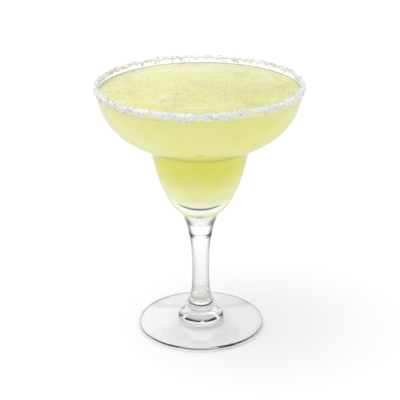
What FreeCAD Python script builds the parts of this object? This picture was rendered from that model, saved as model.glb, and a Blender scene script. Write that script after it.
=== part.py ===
import FreeCAD, Part
import math
import os

# Salt-rimmed margarita in its stemmed glass. Millimetres, +Z up, the glass
# turned about Z, its foot standing on Z = 0.

# ---- overall -------------------------------------------------------------
GLASS_HEIGHT = 170.0
RIM_RADIUS = 66.3            # outside of the lip
FOOT_RADIUS = 41.8

# ---- foot ----------------------------------------------------------------
FOOT_EDGE_HEIGHT = 3.1       # thickness of the foot at its edge
FOOT_EDGE_ROUND = 0.7
REST_RING_INNER = 37.5       # the flat ring that the glass stands on
HOLLOW_HEIGHT = 1.3          # the underside rises to this at the middle
FOOT_SHOULDER_R = 14.8       # where the cone of the foot meets the stem's swell
FOOT_SHOULDER_Z = 6.9
FOOT_SHOULDER_ROUND = 0.8    # fillet there
FOOT_MARKS = (8.5, 14.3)     # radii of two shallow round grooves underneath
FOOT_MARK_TOOL = 0.8         # round tool that cuts them
FOOT_MARK_DEPTH = 0.35

# ---- stem: (height, radius) ----------------------------------------------
STEM = ((8.2, 14.65), (9.6, 14.25), (11.0, 13.6), (12.5, 12.6), (15.0, 10.75), (18.0, 8.9), (22.0, 7.1), (28.0, 6.05),
        (35.0, 5.7), (45.0, 5.62), (55.0, 6.1), (62.0, 6.85), (68.0, 7.8))
STEM_TOP = (74.8, 9.5)       # slight crease where the stem starts to open
BOWL_FOOT = (82.3, 13.0)     # crease under the lower bowl

# ---- lower bowl, outside: (height, radius) -------------------------------
LOWER_BOWL = ((84.8, 15.5), (87.4, 17.95), (90.6, 20.2), (94.5, 22.35),
              (99.0, 24.4), (104.0, 26.35), (110.0, 28.25), (116.0, 29.8))
JUNCTION = (128.4, 33.0)     # inside corner between lower and upper bowl
JUNCTION_FILLET = 2.6

# ---- upper bowl, outside: (height, radius) -------------------------------
UPPER_BOWL = ((130.8, 38.6), (134.0, 44.4), (140.0, 52.9), (146.0, 58.3),
              (152.0, 61.9), (158.0, 64.1), (164.0, 65.55))

# ---- wall ----------------------------------------------------------------
LIP_WALL = 1.6               # wall at the lip
UPPER_WALL = 1.9             # wall at the foot of the upper bowl
LOWER_WALL = 2.0             # wall of the lower bowl
CAVITY_FLOOR_Z = 92.6        # lowest point inside
# the rounded floor inside, over a thick base: (height, radius)
CAVITY_FLOOR = ((93.15, 6.6), (94.7, 10.7), (97.4, 14.4), (100.8, 17.8),
                (104.8, 21.2), (109.4, 24.3), (114.2, 26.6))

# ---- drink ---------------------------------------------------------------
DRINK_LEVEL = 165.4

# ---- salt crust over the lip ---------------------------------------------
SALT_CLEAR = 0.03            # crust to glass
SALT_TOP = 0.75              # mean thickness over the lip
SALT_OUTSIDE = 0.75          # mean thickness outside
SALT_INSIDE = 0.35          # mean thickness inside
SALT_DROP_OUTSIDE = 3.4      # mean reach down the outside
SALT_DROP_INSIDE = 0.6       # mean reach down the inside
SALT_AROUND = 200            # divisions around the rim
SALT_RUNS_UNDER = 2          # steps along each face under the crust
SALT_RUNS_OVER = 6           # steps over the crust's outer face


def pt(z, r):
    return FreeCAD.Vector(r, 0.0, z)


def spline(stations, start=None, end=None):
    """Smooth edge through (height, radius) stations, with optional end
    directions given the same way."""
    curve = Part.BSplineCurve()
    points = [pt(z, r) for z, r in stations]
    args = {"Points": points}
    if start is not None and end is not None:
        args["InitialTangent"] = pt(*start)
        args["FinalTangent"] = pt(*end)
    curve.interpolate(**args)
    return curve


def unit(z, r):
    n = math.hypot(z, r)
    return (z / n, r / n)


# ---- outside curves ------------------------------------------------------
STEM_START_DIR = unit(1.0, -0.05)
STEM_TOP_DIR = unit(1.0, 0.27)
BOWL_FOOT_DIR = unit(1.0, 1.0)
LOWER_END_DIR = unit(1.0, 0.262)
UPPER_START_DIR = unit(1.0, 2.45)
LIP_DIR = unit(1.0, 0.11)

stem_curve = spline(((FOOT_SHOULDER_Z, FOOT_SHOULDER_R),) + STEM + (STEM_TOP,),
                    STEM_START_DIR, STEM_TOP_DIR)
lower_curve = spline((BOWL_FOOT,) + LOWER_BOWL + (JUNCTION,),
                     BOWL_FOOT_DIR, LOWER_END_DIR)
upper_curve = spline((JUNCTION,) + UPPER_BOWL + ((GLASS_HEIGHT - LIP_WALL / 2.0,
                                                  RIM_RADIUS),),
                     UPPER_START_DIR, LIP_DIR)


def inward(curve, first, last, count, wall_at):
    """Stations of a curve moved towards the inside by the wall."""
    out = []
    a, b = curve.FirstParameter, curve.LastParameter
    for i in range(count):
        u = a + (b - a) * (first + (last - first) * i / (count - 1))
        p = curve.value(u)
        d = curve.tangent(u)[0]
        wall = wall_at(p.z)
        # the inside lies to the left of the upward direction
        out.append((p.z + wall * d.x / math.hypot(d.x, d.z),
                    p.x - wall * d.z / math.hypot(d.x, d.z)))
    return out


def wall_at(z):
    """Wall thickness at a height: full below, thinner towards the lip."""
    t = (z - JUNCTION[0]) / (GLASS_HEIGHT - JUNCTION[0])
    if t <= 0.0:
        return LOWER_WALL
    return UPPER_WALL + (LIP_WALL - UPPER_WALL) * min(1.0, t)


# ---- inside curves -------------------------------------------------------
inner_upper = inward(upper_curve, 0.0, 1.0, 9, wall_at)
inner_upper[-1] = (GLASS_HEIGHT - LIP_WALL / 2.0, RIM_RADIUS - LIP_WALL)
inner_lower = [s for s in inward(lower_curve, 0.30, 1.0, 8, wall_at)
               if s[0] > CAVITY_FLOOR[-1][0] + 3.0]
floor_stations = [(CAVITY_FLOOR_Z, 0.0)] + list(CAVITY_FLOOR)


def edge_of(curve):
    return curve.toShape()


def line(a, b):
    return Part.LineSegment(pt(*a), pt(*b)).toShape()


def arc(a, b, c):
    return Part.Arc(pt(*a), pt(*b), pt(*c)).toShape()


# the ledge inside rounds the corner at one wall's distance
ledge_a = inner_lower[-1]
ledge_c = inner_upper[0]
ledge_dir = unit((ledge_a[0] + ledge_c[0]) / 2.0 - JUNCTION[0],
                 (ledge_a[1] + ledge_c[1]) / 2.0 - JUNCTION[1])
ledge_b = (JUNCTION[0] + LOWER_WALL * ledge_dir[0],
           JUNCTION[1] + LOWER_WALL * ledge_dir[1])

cavity_lower = spline(tuple(floor_stations + inner_lower),
                      (0.0, 1.0), LOWER_END_DIR)
cavity_upper = spline(tuple(inner_upper), UPPER_START_DIR, (1.0, 0.02))

LIP_OUT = (GLASS_HEIGHT - LIP_WALL / 2.0, RIM_RADIUS)
LIP_TOP = (GLASS_HEIGHT, RIM_RADIUS - LIP_WALL / 2.0)
LIP_IN = (GLASS_HEIGHT - LIP_WALL / 2.0, RIM_RADIUS - LIP_WALL)

foot_edge_low = (FOOT_EDGE_ROUND, FOOT_RADIUS)
foot_edge_high = (FOOT_EDGE_HEIGHT - FOOT_EDGE_ROUND, FOOT_RADIUS)
c45 = FOOT_EDGE_ROUND * (1.0 - math.sqrt(0.5))
foot_top = spline(((FOOT_EDGE_HEIGHT, FOOT_RADIUS - FOOT_EDGE_ROUND),
                   (FOOT_EDGE_HEIGHT + 1.75, FOOT_RADIUS - 13.0),
                   (FOOT_SHOULDER_Z, FOOT_SHOULDER_R)),
                  unit(0.12, -1.0), unit(0.155, -1.0))
foot_under = spline(((0.0, REST_RING_INNER),
                     (HOLLOW_HEIGHT * 0.55, REST_RING_INNER * 0.6),
                     (HOLLOW_HEIGHT, 0.0)),
                    unit(0.06, -1.0), (0.0, -1.0))

outline = [
    edge_of(foot_under),
    line((HOLLOW_HEIGHT, 0.0), (CAVITY_FLOOR_Z, 0.0)),
    edge_of(cavity_lower),
    arc(ledge_a, ledge_b, ledge_c),
    edge_of(cavity_upper),
    arc(LIP_IN, LIP_TOP, LIP_OUT),
    edge_of(upper_curve),
    edge_of(lower_curve),
    line(BOWL_FOOT, STEM_TOP),
    edge_of(stem_curve),
    edge_of(foot_top),
    arc((FOOT_EDGE_HEIGHT, FOOT_RADIUS - FOOT_EDGE_ROUND),
        (FOOT_EDGE_HEIGHT - c45, FOOT_RADIUS - c45), foot_edge_high),
    line(foot_edge_high, foot_edge_low),
    arc(foot_edge_low, (c45, FOOT_RADIUS - c45),
        (0.0, FOOT_RADIUS - FOOT_EDGE_ROUND)),
    line((0.0, FOOT_RADIUS - FOOT_EDGE_ROUND), (0.0, REST_RING_INNER)),
]
AXIS_POINT = FreeCAD.Vector(0, 0, 0)
AXIS = FreeCAD.Vector(0, 0, 1)


def turned(edges):
    wire = Part.Wire(Part.__sortEdges__(edges))
    face = Part.Face(wire)
    solid = face.revolve(AXIS_POINT, AXIS, 360.0)
    if solid.ShapeType != "Solid":
        solid = solid.Solids[0]
    if solid.Volume < 0:
        solid.reverse()
    return solid


def round_ring(solid, z, r, fillet):
    """Fillet the circular edge of radius r at height z."""
    for edge in solid.Edges:
        box = edge.BoundBox
        if (abs(box.XMax - r) < 1e-3 and abs(box.XMin + r) < 1e-3
                and abs(box.ZMin - z) < 1e-3 and abs(box.ZMax - z) < 1e-3):
            done = solid.makeFillet(fillet, [edge])
            return done if done.ShapeType == "Solid" else done.Solids[0]
    raise ValueError("no circular edge there")


glass = turned(outline)
glass = round_ring(glass, JUNCTION[0], JUNCTION[1], JUNCTION_FILLET)
glass = round_ring(glass, FOOT_SHOULDER_Z, FOOT_SHOULDER_R, FOOT_SHOULDER_ROUND)


def height_under(r):
    """Height of the hollow underside at a radius."""
    lo, hi = foot_under.FirstParameter, foot_under.LastParameter
    for _ in range(50):
        mid = (lo + hi) / 2.0
        if foot_under.value(mid).x > r:
            lo = mid
        else:
            hi = mid
    return foot_under.value((lo + hi) / 2.0).z


for mark in FOOT_MARKS:
    sunk = height_under(mark) + FOOT_MARK_DEPTH - FOOT_MARK_TOOL
    ring = Part.makeTorus(mark, FOOT_MARK_TOOL, FreeCAD.Vector(0, 0, sunk), AXIS)
    glass = glass.cut(ring)
    if glass.ShapeType != "Solid":
        glass = glass.Solids[0]

# ---- drink: everything inside the bowl below the level -------------------
drink_outline = [
    edge_of(cavity_lower),
    arc(ledge_a, ledge_b, ledge_c),
    edge_of(cavity_upper),
    line(LIP_IN, (LIP_IN[0], 0.0)),
    line((LIP_IN[0], 0.0), (CAVITY_FLOOR_Z, 0.0)),
]
drink = turned(drink_outline)
slab = Part.makeCylinder(RIM_RADIUS + 5.0, 40.0,
                         FreeCAD.Vector(0, 0, DRINK_LEVEL), AXIS)
drink = drink.cut(slab)
if drink.ShapeType != "Solid":
    drink = drink.Solids[0]


# ---- salt crust ----------------------------------------------------------
def wobble(angle, seed, terms):
    """Repeatable uneven number between about -1 and 1 round the rim."""
    total = 0.0
    weight = 0.0
    for i, n in enumerate(terms):
        w = 1.0 / (1.0 + 0.35 * i)
        phase = math.sin(seed * 12.9898 + n * 78.233) * 43758.5453
        phase = (phase - math.floor(phase)) * 2.0 * math.pi
        total += w * math.sin(n * angle + phase)
        weight += w
    return 1.6 * total / weight


def radius_on(curve, z):
    """Radius of an outside or inside curve at a height."""
    lo, hi = curve.FirstParameter, curve.LastParameter
    for _ in range(50):
        mid = (lo + hi) / 2.0
        if curve.value(mid).z < z:
            lo = mid
        else:
            hi = mid
    return curve.value((lo + hi) / 2.0).x


def salt_section(angle):
    """Closed loop of (radius, height) round one cut through the crust."""
    # facets between two cuts run inside the true circle by this factor
    flat = 1.0 / math.cos(math.pi / SALT_AROUND)
    down_out = SALT_DROP_OUTSIDE * (1.0 + 0.30 * wobble(angle, 1, (3, 7, 13, 19, 31, 43)))
    down_in = SALT_DROP_INSIDE * (1.0 + 0.25 * wobble(angle, 2, (4, 9, 17, 29)))
    thick_out = SALT_OUTSIDE * (1.0 + 0.28 * wobble(angle, 3, (5, 11, 23, 37, 53)))
    thick_top = SALT_TOP * (1.0 + 0.25 * wobble(angle, 4, (6, 14, 25, 41)))
    thick_in = SALT_INSIDE * (1.0 + 0.25 * wobble(angle, 5, (8, 15, 27, 45)))
    crown_z = GLASS_HEIGHT - LIP_WALL / 2.0
    crown_r = RIM_RADIUS - LIP_WALL / 2.0
    half = LIP_WALL / 2.0
    loop = []
    # against the glass: up the outside, over the lip, down the inside
    for i in range(SALT_RUNS_UNDER + 1):
        z = crown_z - down_out * (1.0 - i / float(SALT_RUNS_UNDER))
        loop.append(((radius_on(upper_curve, z) + SALT_CLEAR) * flat, z))
    for deg in (45.0, 90.0, 135.0):
        a = math.radians(deg)
        rr = (half + SALT_CLEAR) * (1.04 if deg != 90.0 else 1.0)
        loop.append((crown_r + rr * math.cos(a), crown_z + rr * math.sin(a)))
    for i in range(SALT_RUNS_UNDER + 1):
        z = crown_z - down_in * i / float(SALT_RUNS_UNDER)
        loop.append((radius_on(cavity_upper, z) - SALT_CLEAR, z))
    # the free face: rounded foot inside, over the top, rounded foot outside
    loop.append((radius_on(cavity_upper, crown_z - down_in * 0.75)
                 - thick_in * 0.75, crown_z - down_in * 0.80))
    for i in range(SALT_RUNS_OVER):
        a = math.pi * (1.0 - i / float(SALT_RUNS_OVER - 1))
        side = thick_in if a > math.pi / 2.0 else thick_out
        blend = abs(math.cos(a))
        rr = half + side * blend + thick_top * (1.0 - blend)
        loop.append((crown_r + rr * math.cos(a), crown_z + rr * math.sin(a)))
    z = crown_z - down_out * 0.5
    loop.append((radius_on(upper_curve, z) + thick_out * 0.95, z))
    z = crown_z - down_out * 0.86
    loop.append((radius_on(upper_curve, z) + thick_out * 0.6, z))
    return loop


sections = []
for i in range(SALT_AROUND):
    a = 2.0 * math.pi * i / SALT_AROUND
    sections.append([FreeCAD.Vector(r * math.cos(a), r * math.sin(a), z)
                     for r, z in salt_section(a)])

facets = []
for i in range(SALT_AROUND):
    here = sections[i]
    there = sections[(i + 1) % SALT_AROUND]
    n = len(here)
    for j in range(n):
        k = (j + 1) % n
        for tri in ((here[j], there[j], there[k]), (here[j], there[k], here[k])):
            facets.append(Part.Face(Part.makePolygon(list(tri) + [tri[0]])))
salt_rim = Part.Solid(Part.Shell(facets))
if salt_rim.Volume < 0:
    salt_rim.reverse()

os.makedirs("parts", exist_ok=True)
for name, shape in (("glass", glass), ("drink", drink), ("salt_rim", salt_rim)):
    print(name, shape.ShapeType, "valid", shape.isValid(), "faces", len(shape.Faces),
          "volume_cm3 %.2f" % (shape.Volume / 1000.0),
          "box", [round(v, 2) for v in (shape.BoundBox.XMin, shape.BoundBox.XMax,
                                        shape.BoundBox.ZMin, shape.BoundBox.ZMax)])
    shape.exportStep("parts/%s.step" % name)
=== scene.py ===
import math

import bpy
import numpy as np
from mathutils import Matrix, Vector


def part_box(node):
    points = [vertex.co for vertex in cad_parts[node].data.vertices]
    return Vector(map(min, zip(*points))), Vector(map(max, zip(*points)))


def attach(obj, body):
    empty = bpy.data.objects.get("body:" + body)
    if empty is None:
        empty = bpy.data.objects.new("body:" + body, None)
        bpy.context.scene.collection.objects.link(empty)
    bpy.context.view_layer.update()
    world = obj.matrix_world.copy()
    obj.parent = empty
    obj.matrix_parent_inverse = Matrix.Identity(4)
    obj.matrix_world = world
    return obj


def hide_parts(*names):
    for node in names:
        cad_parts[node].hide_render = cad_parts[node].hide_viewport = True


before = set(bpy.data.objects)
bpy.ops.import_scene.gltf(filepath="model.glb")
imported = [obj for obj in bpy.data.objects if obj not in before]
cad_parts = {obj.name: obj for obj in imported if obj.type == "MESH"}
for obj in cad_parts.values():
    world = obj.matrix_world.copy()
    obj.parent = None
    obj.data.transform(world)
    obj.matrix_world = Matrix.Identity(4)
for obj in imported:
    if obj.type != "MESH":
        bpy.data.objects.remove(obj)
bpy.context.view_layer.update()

scene = bpy.context.scene
RNG = np.random.default_rng(20260)
MM = 0.001

# ---------------------------------------------------------------- frame ----
GLASS_LO, GLASS_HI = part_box("glass")
DRINK_LO, DRINK_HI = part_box("drink")
LIP_Z = GLASS_HI[2]
RIM_R = GLASS_HI[0]
LEVEL = DRINK_HI[2]
LIP_WALL = 1.6 * MM
CROWN_Z = LIP_Z - LIP_WALL / 2.0
CROWN_R = RIM_R - LIP_WALL / 2.0


def node_points(name):
    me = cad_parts[name].data
    co = np.zeros(len(me.vertices) * 3)
    me.vertices.foreach_get("co", co)
    return co.reshape(-1, 3)


def cavity_profile():
    """(r, z) up the inside of the glass, from the drink's own solid."""
    co = node_points("drink")
    r = np.hypot(co[:, 0], co[:, 1])
    z = co[:, 2]
    wall = z < LEVEL - 1e-5
    r, z = r[wall], z[wall]
    order = np.argsort(r + z)
    r, z = r[order], z[order]
    r = np.append(r, DRINK_HI[0])
    z = np.append(z, LEVEL)
    r[0] = 0.0
    s = np.concatenate([[0.0], np.cumsum(np.hypot(np.diff(r), np.diff(z)))])
    # even steps along the wall, averaged so that facet noise goes
    n = 84
    t = np.linspace(0.0, s[-1], n)
    rr = np.interp(t, s, r)
    zz = np.interp(t, s, z)
    rr[0] = 0.0
    return rr, zz


def outside_profile(zq):
    """Radius of the glass near the lip, outside and inside, as fits over height; zq is not used."""
    co = node_points("glass")
    r = np.hypot(co[:, 0], co[:, 1])
    z = co[:, 2]
    near = (z > LIP_Z - 12 * MM) & (z < CROWN_Z)
    mid = np.interp(z, [LIP_Z - 12 * MM, LIP_Z], [RIM_R - 2.6 * MM, RIM_R - 0.8 * MM])
    outer = near & (r > mid)
    inner = near & (r <= mid)
    def fit(sel):
        k = np.polyfit(z[sel] - LIP_Z, r[sel], 3)
        return lambda q: np.polyval(k, np.asarray(q) - LIP_Z)
    return fit(outer), fit(inner)


OUT_R, IN_R = outside_profile(None)


# ---------------------------------------------------------------- noise ----
def _hash(ix, iy, iz, seed):
    h = (ix.astype(np.int64) * 374761393 + iy.astype(np.int64) * 668265263
         + iz.astype(np.int64) * 2147483647 + seed * 1274126177) & 0xFFFFFFFF
    h = ((h ^ (h >> 13)) * 1274126177) & 0xFFFFFFFF
    h = (h ^ (h >> 16)) & 0xFFFFFFFF
    return h.astype(np.float64) / 4294967295.0


def noise(p, scale, seed):
    """Smooth value noise from -1 to 1 at points p (n, 3), one cell per scale."""
    q = p / scale
    i = np.floor(q).astype(np.int64)
    f = q - i
    f = f * f * (3.0 - 2.0 * f)
    out = np.zeros(len(p))
    for dx in (0, 1):
        for dy in (0, 1):
            for dz in (0, 1):
                w = ((f[:, 0] if dx else 1 - f[:, 0])
                     * (f[:, 1] if dy else 1 - f[:, 1])
                     * (f[:, 2] if dz else 1 - f[:, 2]))
                out += w * _hash(i[:, 0] + dx, i[:, 1] + dy, i[:, 2] + dz, seed)
    return out * 2.0 - 1.0


def wobble(angle, seed, terms):
    """The same uneven outline numbers that the salt's solid is built from."""
    total = np.zeros_like(angle)
    weight = 0.0
    for i, n in enumerate(terms):
        w = 1.0 / (1.0 + 0.35 * i)
        phase = math.sin(seed * 12.9898 + n * 78.233) * 43758.5453
        phase = (phase - math.floor(phase)) * 2.0 * math.pi
        total = total + w * np.sin(n * angle + phase)
        weight += w
    return 1.6 * total / weight


def salt_reach(angle):
    out = 3.4 * MM * (1.0 + 0.30 * wobble(angle, 1, (3, 7, 13, 19, 31, 43)))
    inn = 0.6 * MM * (1.0 + 0.25 * wobble(angle, 2, (4, 9, 17, 29)))
    return out, inn


def lobes(angle):
    """0 to 1 round the rim: the short drips and gaps along the salt's lower edge."""
    p = np.stack([RIM_R * np.cos(angle), RIM_R * np.sin(angle), np.zeros_like(angle)], axis=1)
    v = 0.80 * noise(p, 2.3 * MM, 71) + 0.38 * noise(p, 1.2 * MM, 72) + 0.30 * noise(p, 6.5 * MM, 73)
    return np.clip(0.45 + 1.15 * v, 0.0, 1.0)


def heavy(angle):
    """The salt is thicker towards the front than at the back."""
    return 0.5 + 0.5 * np.sin(-angle)


# --------------------------------------------------------------- meshes ----
def new_mesh(name, verts, faces, smooth=True):
    me = bpy.data.meshes.new(name)
    verts = np.asarray(verts, dtype=np.float32)
    me.vertices.add(len(verts))
    me.vertices.foreach_set("co", verts.ravel())
    sizes = np.array([len(f) for f in faces], dtype=np.int32) if not isinstance(faces, np.ndarray) \
        else np.full(len(faces), faces.shape[1], dtype=np.int32)
    flat = np.concatenate([np.asarray(f, dtype=np.int32).ravel() for f in faces]) \
        if not isinstance(faces, np.ndarray) else faces.astype(np.int32).ravel()
    starts = np.concatenate([[0], np.cumsum(sizes)[:-1]]).astype(np.int32)
    me.loops.add(len(flat))
    me.loops.foreach_set("vertex_index", flat)
    me.polygons.add(len(sizes))
    me.polygons.foreach_set("loop_start", starts)
    me.polygons.foreach_set("loop_total", sizes)
    me.update(calc_edges=True)
    me.validate()
    if smooth:
        me.polygons.foreach_set("use_smooth", np.ones(len(me.polygons), dtype=bool))
    ob = bpy.data.objects.new(name, me)
    scene.collection.objects.link(ob)
    return ob


def ring_grid(nring, nseg, first=0, close=False):
    """Quads between rings of equal size, in order up the outside."""
    quads = []
    a = np.arange(nseg)
    b = (a + 1) % nseg
    rows = nring if close else nring - 1
    for k in range(rows):
        lo = first + k * nseg
        hi = first + ((k + 1) % nring) * nseg
        quads.append(np.stack([lo + a, lo + b, hi + b, hi + a], axis=1))
    return np.concatenate(quads)


# ------------------------------------------------------------ materials ----
def material(name):
    mat = bpy.data.materials.new(name)
    mat.use_nodes = True
    nt = mat.node_tree
    for n in list(nt.nodes):
        nt.nodes.remove(n)
    out = nt.nodes.new("ShaderNodeOutputMaterial")
    p = nt.nodes.new("ShaderNodeBsdfPrincipled")
    nt.links.new(p.outputs["BSDF"], out.inputs["Surface"])
    return mat, nt, p


def add(nt, kind, **props):
    n = nt.nodes.new(kind)
    for k, v in props.items():
        setattr(n, k, v)
    return n


def tex_coord(nt, scale=(1, 1, 1)):
    tc = add(nt, "ShaderNodeTexCoord")
    mp = add(nt, "ShaderNodeMapping")
    mp.inputs["Scale"].default_value = scale
    nt.links.new(tc.outputs["Object"], mp.inputs["Vector"])
    return mp.outputs["Vector"]


def noise_tex(nt, vec, scale, detail=3.0, rough=0.55, distortion=0.0):
    n = add(nt, "ShaderNodeTexNoise")
    n.inputs["Scale"].default_value = scale
    n.inputs["Detail"].default_value = detail
    n.inputs["Roughness"].default_value = rough
    n.inputs["Distortion"].default_value = distortion
    nt.links.new(vec, n.inputs["Vector"])
    return n.outputs["Fac"]


def ramp(nt, fac, stops, interp="LINEAR"):
    n = add(nt, "ShaderNodeValToRGB")
    n.color_ramp.interpolation = interp
    els = n.color_ramp.elements
    while len(els) > 1:
        els.remove(els[-1])
    els[0].position = stops[0][0]
    els[0].color = tuple(stops[0][1]) + (1.0,)
    for pos, col in stops[1:]:
        e = els.new(pos)
        e.color = tuple(col) + (1.0,)
    nt.links.new(fac, n.inputs["Fac"])
    return n.outputs["Color"]


def mix(nt, fac, a, b, blend="MIX"):
    n = add(nt, "ShaderNodeMix", data_type="RGBA", blend_type=blend)
    def put(sock, v):
        if hasattr(v, "is_output"):
            nt.links.new(v, sock)
        elif isinstance(v, (int, float)):
            sock.default_value = v
        else:
            sock.default_value = tuple(v) + (1.0,)
    put(n.inputs[0], fac)
    put(n.inputs[6], a)
    put(n.inputs[7], b)
    return n.outputs[2]


def remap(nt, val, a, b, c, d, clamp=True):
    n = add(nt, "ShaderNodeMapRange")
    n.clamp = clamp
    n.inputs["From Min"].default_value = a
    n.inputs["From Max"].default_value = b
    n.inputs["To Min"].default_value = c
    n.inputs["To Max"].default_value = d
    nt.links.new(val, n.inputs["Value"])
    return n.outputs["Result"]


def bump(nt, height, strength, distance):
    n = add(nt, "ShaderNodeBump")
    n.inputs["Strength"].default_value = strength
    n.inputs["Distance"].default_value = distance
    nt.links.new(height, n.inputs["Height"])
    return n.outputs["Normal"]


def srgb(r, g, b):
    def f(c):
        c = c / 255.0
        return c / 12.92 if c <= 0.04045 else ((c + 0.055) / 1.055) ** 2.4
    return (f(r), f(g), f(b))


def height_mask(nt, stops):
    """Piecewise-linear weight by height (mm) from (z, weight) stops."""
    tc = add(nt, "ShaderNodeTexCoord")
    sep = add(nt, "ShaderNodeSeparateXYZ")
    nt.links.new(tc.outputs["Object"], sep.inputs["Vector"])
    lo, hi = stops[0][0], stops[-1][0]
    f = remap(nt, sep.outputs["Z"], lo * MM, hi * MM, 0.0, 1.0)
    return ramp(nt, f, [((z - lo) / (hi - lo), (w, w, w)) for z, w in stops])


# glass: clear, with the faintest wave of a pressed and fire-polished wall; where the wall is seen edge-on its colour
# is darkened, a little for the body colour of the metal and mostly as painted shade: the grey edges and dark stem
# lines that dark surroundings would show through clear glass
def glass_material():
    mat, nt, p = material("glass_clear")
    vec = tex_coord(nt)
    tint = ramp(nt, noise_tex(nt, vec, 18.0, 2.0), [(0.3, (0.985, 0.992, 0.988)), (0.7, (1.0, 1.0, 1.0))])
    lw = add(nt, "ShaderNodeLayerWeight")
    lw.inputs["Blend"].default_value = 0.5
    facing = lw.outputs["Facing"]
    # painted shade: these ramps grey the walls, stem and bowl where they are seen edge-on, down to near black,
    # standing in for the dark surroundings that clear glass would show; only the faintest part is the glass's own body
    # colour
    thin_wall_shade = ramp(nt, facing, [(0.0, (1.0, 1.0, 1.0)), (0.66, (1.0, 1.0, 1.0)), (0.72, (0.96, 0.965, 0.95)),
                             (0.80, (0.86, 0.87, 0.84)), (0.90, (0.68, 0.69, 0.65)), (1.0, (0.42, 0.43, 0.39))])
    stem_shade = ramp(nt, facing, [(0.06, (0.93, 0.93, 0.93)), (0.20, (0.85, 0.85, 0.85)), (0.40, (0.66, 0.66, 0.66)),
                             (0.56, (0.45, 0.45, 0.45)), (0.71, (0.20, 0.20, 0.20)), (0.85, (0.06, 0.06, 0.06)),
                             (1.0, (0.02, 0.02, 0.02))])
    stem_top_shade = ramp(nt, facing, [(0.0, (1.0, 1.0, 1.0)), (0.36, (0.98, 0.98, 0.98)), (0.42, (0.66, 0.66, 0.66)),
                              (0.48, (0.36, 0.36, 0.36)), (0.54, (0.16, 0.16, 0.16)), (0.62, (0.05, 0.05, 0.05)),
                              (0.78, (0.02, 0.02, 0.02)), (1.0, (0.02, 0.02, 0.02))])
    rod = height_mask(nt, [(14.0, 0.0), (26.0, 1.0), (78.0, 1.0), (82.0, 0.0)])
    top = height_mask(nt, [(52.0, 0.0), (64.0, 1.0), (78.0, 1.0), (81.0, 0.0)])
    bowl_edge_shade = ramp(nt, facing, [(0.0, (1.0, 1.0, 1.0)), (0.60, (1.0, 1.0, 1.0)), (0.70, (0.88, 0.885, 0.84)),
                             (0.80, (0.70, 0.71, 0.64)), (0.90, (0.40, 0.41, 0.35)), (1.0, (0.08, 0.085, 0.07))])
    # edge picks the painted edge shade by height: thin walls low down, the bowl above, the stem and the stem's top in
    # between
    edge = mix(nt, height_mask(nt, [(84.0, 0.0), (92.0, 1.0)]), thin_wall_shade, bowl_edge_shade)
    edge = mix(nt, rod, edge, stem_shade)
    edge = mix(nt, top, edge, stem_top_shade)
    nt.links.new(mix(nt, 1.0, tint, edge, "MULTIPLY"), p.inputs["Base Color"])
    p.inputs["Transmission Weight"].default_value = 1.0
    p.inputs["IOR"].default_value = 1.5
    nt.links.new(remap(nt, noise_tex(nt, vec, 60.0, 3.0), 0.45, 0.75, 0.0, 0.012), p.inputs["Roughness"])
    nt.links.new(bump(nt, noise_tex(nt, vec, 35.0, 1.0), 0.06, 0.0006), p.inputs["Normal"])
    return mat


def drink_colour(nt, vec):
    """Colour of the drink by height: pale near the level, deepest under the ledge, paler again at the bottom; the band
    just under the ledge, at 128 to 131 mm, is lifted as painted light against the shade there.
    """
    tc = add(nt, "ShaderNodeTexCoord")
    sep = add(nt, "ShaderNodeSeparateXYZ")
    nt.links.new(tc.outputs["Object"], sep.inputs["Vector"])
    h = remap(nt, sep.outputs["Z"], 0.088, 0.168, 0.0, 1.0)
    wav = remap(nt, noise_tex(nt, vec, 45.0, 2.0), 0.3, 0.7, -0.04, 0.04)
    s = add(nt, "ShaderNodeMath", operation="ADD")
    nt.links.new(h, s.inputs[0]); nt.links.new(wav, s.inputs[1])
    def at(z):
        return (z - 88.0) / 80.0
    return ramp(nt, s.outputs[0], [
        (0.0, (0.885, 0.892, 0.64)),
        (at(96), (0.900, 0.906, 0.655)),
        (at(100), (0.900, 0.907, 0.61)),
        (at(108), (0.915, 0.921, 0.49)),
        (at(116), (0.930, 0.934, 0.365)),
        (at(122), (0.942, 0.942, 0.285)),
        # painted light: these two stops are lifted to near white, to cancel the shade just under the ledge
        (at(128), (0.985, 0.983, 0.345)),
        (at(131), (0.985, 0.983, 0.38)),
        (at(137), (0.980, 0.978, 0.47)),
        (at(143), (0.965, 0.966, 0.60)),
        (at(152), (0.955, 0.960, 0.63)),
        (1.0, (0.955, 0.960, 0.65))])


def drink_side_material():
    mat, nt, p = material("drink_side")
    vec = tex_coord(nt)
    col = drink_colour(nt, vec)
    tc = add(nt, "ShaderNodeTexCoord")
    sep = add(nt, "ShaderNodeSeparateXYZ")
    nt.links.new(tc.outputs["Object"], sep.inputs["Vector"])
    # painted shade: darker and deeper yellow towards the right, as if the drink were lit from the left
    side = remap(nt, sep.outputs["X"], -0.045, 0.030, 0.0, 1.0)
    col = mix(nt, 1.0, col, ramp(nt, side, [(0.0, (1.0, 1.0, 1.0)), (1.0, (0.978, 0.978, 0.81))]), "MULTIPLY")
    cloud = ramp(nt, noise_tex(nt, vec, 48.0, 4.0, 0.55, 0.6), [(0.34, (0.970, 0.970, 0.80)), (0.66, (1.0, 1.0, 1.0))])
    fleck = ramp(nt, noise_tex(nt, vec, 700.0, 2.0, 0.6), [(0.35, (0.985, 0.985, 0.96)), (0.65, (1.0, 1.0, 1.0))])
    col = mix(nt, 1.0, col, cloud, "MULTIPLY")
    col = mix(nt, 1.0, col, fleck, "MULTIPLY")
    nt.links.new(col, p.inputs["Base Color"])
    p.inputs["Subsurface Weight"].default_value = 1.0
    p.inputs["Subsurface Radius"].default_value = (1.0, 1.0, 0.45)
    p.inputs["Subsurface Scale"].default_value = 0.006
    p.inputs["IOR"].default_value = 1.33
    p.inputs["Specular IOR Level"].default_value = 0.0
    nt.links.new(remap(nt, noise_tex(nt, vec, 400.0, 2.0), 0.3, 0.7, 0.5, 0.7), p.inputs["Roughness"])
    return mat


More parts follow.
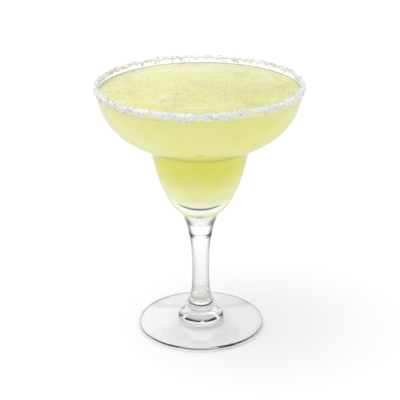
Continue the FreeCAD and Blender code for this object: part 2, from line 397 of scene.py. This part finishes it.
def drink_top_material():
    mat, nt, p = material("drink_top")
    vec = tex_coord(nt)
    grain = noise_tex(nt, vec, 900.0, 3.0, 0.65)
    patch = noise_tex(nt, vec, 60.0, 4.0, 0.6, 0.8)
    foam = noise_tex(nt, tex_coord(nt, (0.8, 1.3, 1.0)), 42.0, 5.0, 0.62, 1.4)
    col = ramp(nt, grain, [(0.34, srgb(196, 196, 100)), (0.50, srgb(222, 222, 150)), (0.66, srgb(247, 247, 214))])
    col = mix(nt, remap(nt, patch, 0.42, 0.66, 0.0, 0.5), col, srgb(221, 221, 138))
    col = mix(nt, remap(nt, foam, 0.50, 0.68, 0.0, 0.6), col, srgb(243, 243, 210))
    # a frosty ring where the slush has dried up against the wall
    tc = add(nt, "ShaderNodeTexCoord")
    sep = add(nt, "ShaderNodeSeparateXYZ")
    nt.links.new(tc.outputs["Object"], sep.inputs["Vector"])
    flat = add(nt, "ShaderNodeCombineXYZ")
    nt.links.new(sep.outputs["X"], flat.inputs["X"])
    nt.links.new(sep.outputs["Y"], flat.inputs["Y"])
    rad = add(nt, "ShaderNodeVectorMath", operation="LENGTH")
    nt.links.new(flat.outputs["Vector"], rad.inputs[0])
    ring = remap(nt, rad.outputs["Value"], DRINK_HI[0] - 6.0 * MM, DRINK_HI[0] - 1.2 * MM, 0.0, 0.5)
    col = mix(nt, ring, col, srgb(240, 241, 212))
    # painted shade: the top is darker towards the right, as if lit from the left
    side = remap(nt, sep.outputs["X"], -0.03, 0.05, 0.0, 1.0)
    col = mix(nt, 1.0, col, ramp(nt, side, [(0.0, (1.0, 1.0, 1.0)), (1.0, (0.93, 0.93, 0.84))]), "MULTIPLY")
    depth = remap(nt, sep.outputs["Y"], -0.05, 0.06, 0.0, 1.0)
    col = mix(nt, 1.0, col, ramp(nt, depth, [(0.0, (1.0, 1.0, 0.93)), (0.5, (1.0, 1.0, 1.0))]), "MULTIPLY")
    col = mix(nt, remap(nt, sep.outputs["Y"], 0.005, 0.058, 0.0, 0.42), col, srgb(238, 239, 216))
    # painted shade: a dark olive line just inside the wall, where the meniscus curves up
    meniscus_shade = remap(nt, rad.outputs["Value"], DRINK_HI[0] - 0.9 * MM, DRINK_HI[0] - 0.4 * MM, 0.0, 0.6)
    col = mix(nt, meniscus_shade, col, srgb(160, 160, 112))
    nt.links.new(col, p.inputs["Base Color"])
    p.inputs["Subsurface Weight"].default_value = 1.0
    p.inputs["Subsurface Radius"].default_value = (1.0, 1.0, 0.5)
    p.inputs["Subsurface Scale"].default_value = 0.003
    p.inputs["IOR"].default_value = 1.33
    nt.links.new(remap(nt, grain, 0.3, 0.7, 0.45, 0.25), p.inputs["Roughness"])
    nt.links.new(bump(nt, grain, 0.35, 0.0004), p.inputs["Normal"])
    return mat


def ice_material():
    mat, nt, p = material("ice_grain")
    vec = tex_coord(nt)
    col = ramp(nt, noise_tex(nt, vec, 500.0, 2.0), [(0.3, srgb(249, 249, 205)), (0.7, srgb(255, 255, 228))])
    nt.links.new(col, p.inputs["Base Color"])
    p.inputs["Subsurface Weight"].default_value = 1.0
    p.inputs["Subsurface Radius"].default_value = (1.0, 1.0, 0.7)
    p.inputs["Subsurface Scale"].default_value = 0.002
    p.inputs["IOR"].default_value = 1.31
    nt.links.new(remap(nt, noise_tex(nt, vec, 900.0, 2.0), 0.3, 0.7, 0.12, 0.3), p.inputs["Roughness"])
    return mat


def salt_material(name, clear, lo, hi):
    mat, nt, p = material(name)
    vec = tex_coord(nt)
    col = ramp(nt, noise_tex(nt, vec, 1100.0, 3.0, 0.6), [(0.3, lo), (0.7, hi)])
    nt.links.new(col, p.inputs["Base Color"])
    p.inputs["Subsurface Weight"].default_value = 0.0
    p.inputs["Subsurface Radius"].default_value = (1.0, 1.0, 1.0)
    p.inputs["Subsurface Scale"].default_value = 0.0003
    p.inputs["Transmission Weight"].default_value = clear
    p.inputs["IOR"].default_value = 1.54
    nt.links.new(remap(nt, noise_tex(nt, vec, 1500.0, 2.0), 0.3, 0.7, 0.12, 0.38), p.inputs["Roughness"])
    nt.links.new(bump(nt, noise_tex(nt, vec, 2200.0, 2.0), 0.4, 0.0002), p.inputs["Normal"])
    return mat


# ---------------------------------------------------------------- drink ----
WALL_BITE = 0.15 * MM      # how far the drink reaches into the wall
SEG = 600


def build_drink():
    r, z = cavity_profile()
    dr = np.gradient(r)
    dz = np.gradient(z)
    n = np.hypot(dr, dz)
    nr, nz = dz / n, -dr / n
    nr[0], nz[0] = 0.0, -1.0
    r = r + nr * WALL_BITE
    z = z + nz * WALL_BITE
    r[0] = 0.0
    top_r = r[-1]
    verts = []
    quads = []
    tris = []

    def ring(rad, h, nseg):
        a = np.arange(nseg) * (2 * math.pi / nseg)
        return np.stack([rad * np.cos(a), rad * np.sin(a), np.full(nseg, h)], axis=1)

    # side, from the floor's pole up to the level
    start = len(verts)
    verts.append(np.array([[0.0, 0.0, z[0]]]))
    count = 1
    first_ring = None
    previous = None
    side_faces = 0
    for k in range(1, len(r)):
        if r[k] < 4 * MM:
            nseg = 75
        elif r[k] < 9 * MM:
            nseg = 150
        elif r[k] < 22 * MM:
            nseg = 300
        else:
            nseg = 300
        rows = ring(r[k], z[k], nseg)
        verts.append(rows)
        here = (count, nseg)
        count += nseg
        if previous is None:
            a = np.arange(nseg)
            tris.append(np.stack([np.zeros(nseg, dtype=int), here[0] + (a + 1) % nseg, here[0] + a], axis=1))
        else:
            join(previous, here, quads, tris)
        previous = here
    side_quads = sum(len(q) for q in quads)
    side_tris = sum(len(t) for t in tris)
    quads_side, tris_side = list(quads), list(tris)
    quads.clear(); tris.clear()
    # top: meniscus at the wall, then a flat of fine relief into the middle
    rings = []
    rad = top_r
    rad_list = [0.25, 0.5, 0.8, 1.15, 1.6, 2.1]
    steps = [top_r - q * MM for q in rad_list]
    rr = top_r - 2.65 * MM
    while rr > 1.0 * MM:
        steps.append(rr)
        rr -= 0.6 * MM
    top_first = count
    for rr in steps:
        nseg = 600 if rr > 16 * MM else (300 if rr > 8 * MM else (150 if rr > 4 * MM else 75))
        verts.append(ring(rr, LEVEL, nseg))
        here = (count, nseg)
        count += nseg
        join(previous, here, quads, tris)
        previous = here
    verts.append(np.array([[0.0, 0.0, LEVEL]]))
    pole = count
    count += 1
    a = np.arange(previous[1])
    tris.append(np.stack([previous[0] + a, previous[0] + (a + 1) % previous[1], np.full(previous[1], pole)], axis=1))
    co = np.concatenate(verts)
    # relief of the top
    top = np.arange(top_first, count)
    p = co[top]
    rho = np.hypot(p[:, 0], p[:, 1])
    edge = np.clip((top_r - rho) / (2.2 * MM), 0.0, 1.0)
    h = top_relief(p) * edge
    h += 0.55 * MM * (1.0 - edge) ** 2.2     # meniscus
    co[top, 2] += h
    # the side's last ring rises with the meniscus
    last = np.arange(top_first - 300, top_first)
    co[last, 2] += 0.55 * MM
    faces = quads_side + tris_side + quads + tris
    arrays = [np.asarray(f) for f in faces]
    quad_block = np.concatenate([f for f in arrays if f.shape[1] == 4])
    n_side_quads = sum(len(f) for f in quads_side)
    n_side_tris = sum(len(f) for f in tris_side)
    tri_block = np.concatenate([f for f in arrays if f.shape[1] == 3])
    flat = list(quad_block) + list(tri_block)
    is_top = np.concatenate([np.arange(len(quad_block)) >= n_side_quads,
                             np.arange(len(tri_block)) >= n_side_tris])
    ob = new_mesh("drink_body", co, flat)
    ob.data.materials.append(drink_side_material())
    ob.data.materials.append(drink_top_material())
    if len(ob.data.polygons) == len(is_top):
        ob.data.polygons.foreach_set("material_index", is_top.astype(np.int32))
    return ob


def join(a, b, quads, tris):
    """Faces between two rings, where one may have twice the other's points."""
    (fa, na), (fb, nb) = a, b
    if na == nb:
        i = np.arange(na)
        j = (i + 1) % na
        quads.append(np.stack([fa + i, fa + j, fb + j, fb + i], axis=1))
    elif nb == 2 * na:
        i = np.arange(na)
        j = (i + 1) % na
        tris.append(np.stack([fa + i, fb + (2 * i + 1) % nb, fb + 2 * i], axis=1))
        tris.append(np.stack([fa + i, fa + j, fb + (2 * i + 1) % nb], axis=1))
        tris.append(np.stack([fa + j, fb + (2 * i + 2) % nb, fb + (2 * i + 1) % nb], axis=1))
    elif na == 2 * nb:
        i = np.arange(nb)
        j = (i + 1) % nb
        tris.append(np.stack([fa + 2 * i, fa + (2 * i + 1) % na, fb + i], axis=1))
        tris.append(np.stack([fa + (2 * i + 1) % na, fb + j, fb + i], axis=1))
        tris.append(np.stack([fa + (2 * i + 1) % na, fa + (2 * i + 2) % na, fb + j], axis=1))
    else:
        raise ValueError("rings differ by more than a factor of two")


def top_relief(p):
    q = p.copy()
    q[:, 2] = 0.0
    h = 0.05 * MM * noise(q, 1.1 * MM, 11)
    h += 0.03 * MM * noise(q, 0.65 * MM, 12)
    h += 0.12 * MM * noise(q, 3.2 * MM, 13)
    h += 0.16 * MM * noise(q, 12.0 * MM, 14)
    return h


# ---------------------------------------------------------------- grains ----
CUBE_V = np.array([[x, y, z] for x in (-1, 1) for y in (-1, 1) for z in (-1, 1)], dtype=float)
CUBE_F = np.array([[0, 1, 3], [0, 3, 2], [4, 6, 7], [4, 7, 5], [0, 4, 5], [0, 5, 1],
                   [2, 3, 7], [2, 7, 6], [0, 2, 6], [0, 6, 4], [1, 5, 7], [1, 7, 3]])


def ico():
    t = (1.0 + 5 ** 0.5) / 2.0
    v = np.array([[-1, t, 0], [1, t, 0], [-1, -t, 0], [1, -t, 0], [0, -1, t], [0, 1, t],
                  [0, -1, -t], [0, 1, -t], [t, 0, -1], [t, 0, 1], [-t, 0, -1], [-t, 0, 1]], dtype=float)
    v /= np.linalg.norm(v[0])
    f = np.array([[0, 11, 5], [0, 5, 1], [0, 1, 7], [0, 7, 10], [0, 10, 11], [1, 5, 9], [5, 11, 4],
                  [11, 10, 2], [10, 7, 6], [7, 1, 8], [3, 9, 4], [3, 4, 2], [3, 2, 6], [3, 6, 8],
                  [3, 8, 9], [4, 9, 5], [2, 4, 11], [6, 2, 10], [8, 6, 7], [9, 8, 1]])
    return v, f


def chamfered_cube(c=0.28):
    """A salt crystal: a cube with its corners cut off."""
    v = []
    for s in CUBE_V:
        for k in range(3):
            p = s.copy()
            p[k] *= (1.0 - c)
            v.append(p)
    v = np.array(v)
    # hull of the 24 points: 6 octagons, 8 triangles
    faces = []
    for ax in range(3):
        for sg in (-1, 1):
            idx = [i for i in range(24) if abs(v[i][ax] - sg) < 1e-9]
            a1, a2 = [k for k in range(3) if k != ax]
            ang = [math.atan2(v[i][a2], v[i][a1]) for i in idx]
            idx = [i for _, i in sorted(zip(ang, idx))]
            nrm = np.cross(v[idx[1]] - v[idx[0]], v[idx[2]] - v[idx[1]])
            if nrm[ax] * sg < 0:
                idx = idx[::-1]
            for k in range(1, len(idx) - 1):
                faces.append([idx[0], idx[k], idx[k + 1]])
    for s in range(8):
        idx = [3 * s, 3 * s + 1, 3 * s + 2]
        nrm = np.cross(v[idx[1]] - v[idx[0]], v[idx[2]] - v[idx[1]])
        if np.dot(nrm, CUBE_V[s]) < 0:
            idx = idx[::-1]
        faces.append(idx)
    return v, np.array(faces)


def random_rotations(n):
    q = RNG.normal(size=(n, 4))
    q /= np.linalg.norm(q, axis=1)[:, None]
    w, x, y, z = q.T
    return np.stack([
        np.stack([1 - 2 * (y * y + z * z), 2 * (x * y - z * w), 2 * (x * z + y * w)], axis=1),
        np.stack([2 * (x * y + z * w), 1 - 2 * (x * x + z * z), 2 * (y * z - x * w)], axis=1),
        np.stack([2 * (x * z - y * w), 2 * (y * z + x * w), 1 - 2 * (x * x + y * y)], axis=1)], axis=1)


def scatter(name, kind, centres, half_sizes, rough=0.16, smooth=False):
    """One joined mesh of uneven grains at the given centres."""
    base_v, base_f = kind
    n = len(centres)
    m = len(base_v)
    rot = random_rotations(n)
    v = base_v[None, :, :] * half_sizes[:, None, :]
    v = v * (1.0 + rough * RNG.uniform(-1.0, 1.0, size=(n, m, 1)))
    v = np.einsum("nij,nmj->nmi", rot, v) + centres[:, None, :]
    f = base_f[None, :, :] + (np.arange(n) * m)[:, None, None]
    return new_mesh(name, v.reshape(-1, 3), f.reshape(-1, 3), smooth)


# ------------------------------------------------------------------ salt ----
def salt_core():
    """A thin granular crust over the lip, a little inside the salt's outline."""
    nseg = 1000
    a = np.arange(nseg) * (2 * math.pi / nseg)
    d_out, d_in = salt_reach(a)
    reach = 0.07 + 0.24 * lobes(a) + 0.05 * heavy(a)
    d_out = d_out * reach
    d_in = d_in * 0.6
    clear = 0.03 * MM
    half = LIP_WALL / 2.0
    rings = []
    # against the glass
    for t in (0.0, 0.5, 1.0):
        zz = CROWN_Z - d_out * (1.0 - t)
        rings.append((OUT_R(zz) + clear, zz, 0.0))
    for deg in (45.0, 90.0, 135.0):
        q = math.radians(deg)
        rings.append((np.full(nseg, CROWN_R + (half + clear) * math.cos(q)),
                      np.full(nseg, CROWN_Z + (half + clear) * math.sin(q)), 0.0))
    for t in (0.0, 0.5, 1.0):
        zz = CROWN_Z - d_in * t
        rings.append((IN_R(zz) - clear, zz, 0.0))
    # free face
    t_in, t_top, t_out = 0.09 * MM, 0.13 * MM, 0.15 * MM
    for t in (0.92, 0.5):
        zz = CROWN_Z - d_in * t
        rings.append((IN_R(zz) - t_in * (0.6 if t > 0.9 else 1.0), zz, 1.0))
    for k in range(9):
        q = math.pi * (1.0 - k / 8.0)
        side = t_in if q > math.pi / 2 else t_out
        bl = abs(math.cos(q))
        rr = half + side * bl + t_top * (1.0 - bl)
        rings.append((np.full(nseg, CROWN_R + rr * math.cos(q)), np.full(nseg, CROWN_Z + rr * math.sin(q)), 1.0))
    for t in (0.2, 0.4, 0.6, 0.8, 0.94):
        zz = CROWN_Z - d_out * t
        rings.append((OUT_R(zz) + t_out * (0.55 if t > 0.9 else 1.0), zz, 1.0))
    co = []
    for rad, zz, free in rings:
        p = np.stack([rad * np.cos(a), rad * np.sin(a), zz], axis=1)
        if free:
            h = 0.5 + 0.5 * noise(p, 0.75 * MM, 31) + 0.35 * noise(p, 0.4 * MM, 32)
            h = 0.17 * MM * np.clip(h, 0.0, 1.3) * (0.45 + 0.55 * heavy(a))
            # outward from the lip's own middle
            cr = np.stack([CROWN_R * np.cos(a), CROWN_R * np.sin(a), np.minimum(zz, CROWN_Z)], axis=1)
            d = p - cr
            d /= np.linalg.norm(d, axis=1)[:, None]
            p = p + d * h[:, None]
        co.append(p)
    faces = ring_grid(len(rings), nseg, close=True)[:, ::-1]
    ob = new_mesh("salt_crust", np.concatenate(co), faces)
    ob.data.materials.append(salt_material("salt_crust", 0.0, (0.975, 0.975, 0.945), (1.0, 1.0, 0.975)))
    return ob


def salt_points(n, lift, spill):
    """Random places on the salted lip: angle even, place across by arc length."""
    a = RNG.uniform(0, 2 * math.pi, 3 * n)
    a = a[RNG.uniform(0, 1, 3 * n) < 0.35 + 0.65 * heavy(a)][:n]
    d_out, d_in = salt_reach(a)
    d_out = d_out * (0.20 + 0.92 * lobes(a))
    over = math.pi * LIP_WALL / 2.0 + 0.6 * MM
    total = d_out * spill + over + d_in * spill
    s = RNG.uniform(0, 1, n) * total
    half = LIP_WALL / 2.0
    rad = np.zeros(n)
    zz = np.zeros(n)
    out = s < d_out * spill
    zz[out] = CROWN_Z - (d_out * spill - s)[out]
    rad[out] = OUT_R(zz[out]) + lift[out]
    topm = (~out) & (s < d_out * spill + over)
    q = math.pi * ((s - d_out * spill) / over)[topm]
    rad[topm] = CROWN_R + (half + lift[topm]) * np.cos(q)
    zz[topm] = CROWN_Z + (half + lift[topm]) * np.sin(q)
    inn = s >= d_out * spill + over
    zz[inn] = CROWN_Z - (s - d_out * spill - over)[inn]
    rad[inn] = IN_R(zz[inn]) - lift[inn]
    return np.stack([rad * np.cos(a), rad * np.sin(a), zz], axis=1)


def build_salt():
    parts = [salt_core()]
    n = 2300
    size = RNG.gamma(6.0, 1.0, n)
    size = np.clip(size / 6.0, 0.5, 1.7) * 0.29 * MM
    pts = salt_points(n, size * RNG.uniform(0.5, 1.05, n) + 0.2 * MM, 1.0)
    half = size[:, None] * RNG.uniform(0.7, 1.15, (n, 3))
    ob = scatter("salt_crystals", chamfered_cube(), pts, half, 0.10)
    ob.data.materials.append(salt_material("salt_crystal", 0.06, (0.985, 0.985, 0.955), (1.0, 1.0, 0.98)))
    parts.append(ob)
    n = 420
    size = RNG.uniform(0.22, 0.40, n) * MM
    pts = salt_points(n, size * RNG.uniform(0.8, 1.1, n) + 0.24 * MM, 1.0)
    half = size[:, None] * RNG.uniform(0.75, 1.1, (n, 3))
    ob = scatter("salt_clear", chamfered_cube(), pts, half, 0.06)
    ob.data.materials.append(salt_material("salt_clear", 0.95, (0.99, 0.99, 0.98), (1.0, 1.0, 1.0)))
    parts.append(ob)
    n = 5600
    size = RNG.uniform(0.10, 0.20, n) * MM
    pts = salt_points(n, size * RNG.uniform(0.6, 1.2, n) + 0.18 * MM, 1.12)
    half = size[:, None] * RNG.uniform(0.7, 1.25, (n, 3))
    ob = scatter("salt_fines", (CUBE_V.copy(), CUBE_F), pts, half, 0.2)
    ob.data.materials.append(salt_material("salt_fine", 0.0, (0.975, 0.975, 0.945), (1.0, 1.0, 0.975)))
    parts.append(ob)
    return parts


def build_ice():
    n = 14000
    top_r = DRINK_HI[0]
    rad = top_r * np.sqrt(RNG.uniform(0, 0.985, n))
    a = RNG.uniform(0, 2 * math.pi, n)
    p = np.stack([rad * np.cos(a), rad * np.sin(a), np.full(n, LEVEL)], axis=1)
    # grains gather in drifts
    rim = np.exp(-(top_r - rad) / (3.0 * MM))
    keep = (noise(p, 16.0 * MM, 51) + 0.7 * noise(p, 7.0 * MM, 52) + 1.0 * rim + RNG.uniform(-0.55, 0.55, n)) > 0.16
    p = p[keep]
    n = len(p)
    size = np.clip(RNG.gamma(5.0, 0.2, n), 0.4, 2.0) * 0.20 * MM
    p[:, 2] = LEVEL + top_relief(p) + size * RNG.uniform(-0.45, 0.15, n)
    half = size[:, None] * RNG.uniform(0.6, 1.3, (n, 3))
    ob = scatter("ice_grains", ico(), p, half, 0.22, smooth=False)
    ob.data.materials.append(ice_material())
    return ob


# ------------------------------------------------------------- assembly ----
glass_mat = glass_material()
glass_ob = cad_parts["glass"]
for i in range(len(glass_ob.material_slots)):
    glass_ob.material_slots[i].material = glass_mat

drink_ob = build_drink()
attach(drink_ob, "root")
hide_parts("drink")

ice_ob = build_ice()
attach(ice_ob, "root")

salt_obs = build_salt()
for ob in salt_obs:
    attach(ob, "root")
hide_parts("salt_rim")

# --------------------------------------------------- floor, light, camera ----
floor_me = bpy.data.meshes.new("floor")
s = 6.0
floor_me.from_pydata([(-s, -s, 0), (s, -s, 0), (s, s, 0), (-s, s, 0)], [], [(0, 1, 2, 3)])
floor = bpy.data.objects.new("floor", floor_me)
scene.collection.objects.link(floor)
mat, nt, p = material("floor_white")
vec = tex_coord(nt)
nt.links.new(ramp(nt, noise_tex(nt, vec, 3.0, 2.0), [(0.3, (0.928, 0.926, 0.965)), (0.7, (0.935, 0.933, 0.972))]), p.inputs["Base Color"])
p.inputs["Roughness"].default_value = 0.9
p.inputs["Specular IOR Level"].default_value = 0.0
floor_me.materials.append(mat)

world = bpy.data.worlds.new("studio")
scene.world = world
world.use_nodes = True
nt = world.node_tree
for n in list(nt.nodes):
    nt.nodes.remove(n)
wout = nt.nodes.new("ShaderNodeOutputWorld")
bg = nt.nodes.new("ShaderNodeBackground")
tc = nt.nodes.new("ShaderNodeTexCoord")
sep = nt.nodes.new("ShaderNodeSeparateXYZ")
nt.links.new(tc.outputs["Generated"], sep.inputs["Vector"])
def elev(deg):
    return math.sin(math.radians(deg))


# white all round, but for one dark gap low between the floor's glow and the lamps, which clear glass draws as dark lines
W, D, S = (0.98, 0.98, 0.98), (0.08, 0.08, 0.08), (0.68, 0.68, 0.68)
H = (0.62, 0.62, 0.62)
wcol = ramp(nt, remap(nt, sep.outputs["Z"], 0.0, 1.0, 0.0, 1.0),
            [(0.0, W), (elev(10.3), W), (elev(12.0), H), (elev(15.0), H), (elev(16.2), D), (elev(17.6), D),
             (elev(19.0), W), (elev(42), W), (elev(50), S), (1.0, S)])
nt.links.new(wcol, bg.inputs["Color"])
bg.inputs["Strength"].default_value = 0.97
nt.links.new(bg.outputs["Background"], wout.inputs["Surface"])


def lamp(name, toward, power, spread):
    """A very large, soft lamp far off: it lights the floor evenly."""
    li = bpy.data.lights.new(name, "SUN")
    li.energy = power
    li.angle = math.radians(spread)
    ob = bpy.data.objects.new(name, li)
    scene.collection.objects.link(ob)
    ob.rotation_euler = (-Vector(toward)).to_track_quat("-Z", "Y").to_euler()
    return ob


lamp("overhead", (-0.24, 0.0, 0.95), 1.22, 58.0)

cam_data = bpy.data.cameras.new("camera")
cam_data.sensor_width = 36.0
cam_data.lens = 36.0 * 1196.0 / 400.0
cam_data.clip_start = 0.01
cam_data.clip_end = 50.0
cam = bpy.data.objects.new("camera", cam_data)
scene.collection.objects.link(cam)
pitch = math.radians(90.0 - 21.95)
cam.matrix_world = (Matrix.Translation((-0.00018, -0.729, 0.384))
                    @ Matrix.Rotation(pitch, 4, "X")
                    @ Matrix.Rotation(math.radians(-0.35), 4, "Z"))
scene.camera = cam

# light that has come off the drink or the floor passes the clear glass unblurred, and so undimmed
scene.cycles.blur_glossy = 0.0
scene.view_settings.view_transform = "Standard"
scene.view_settings.look = "None"
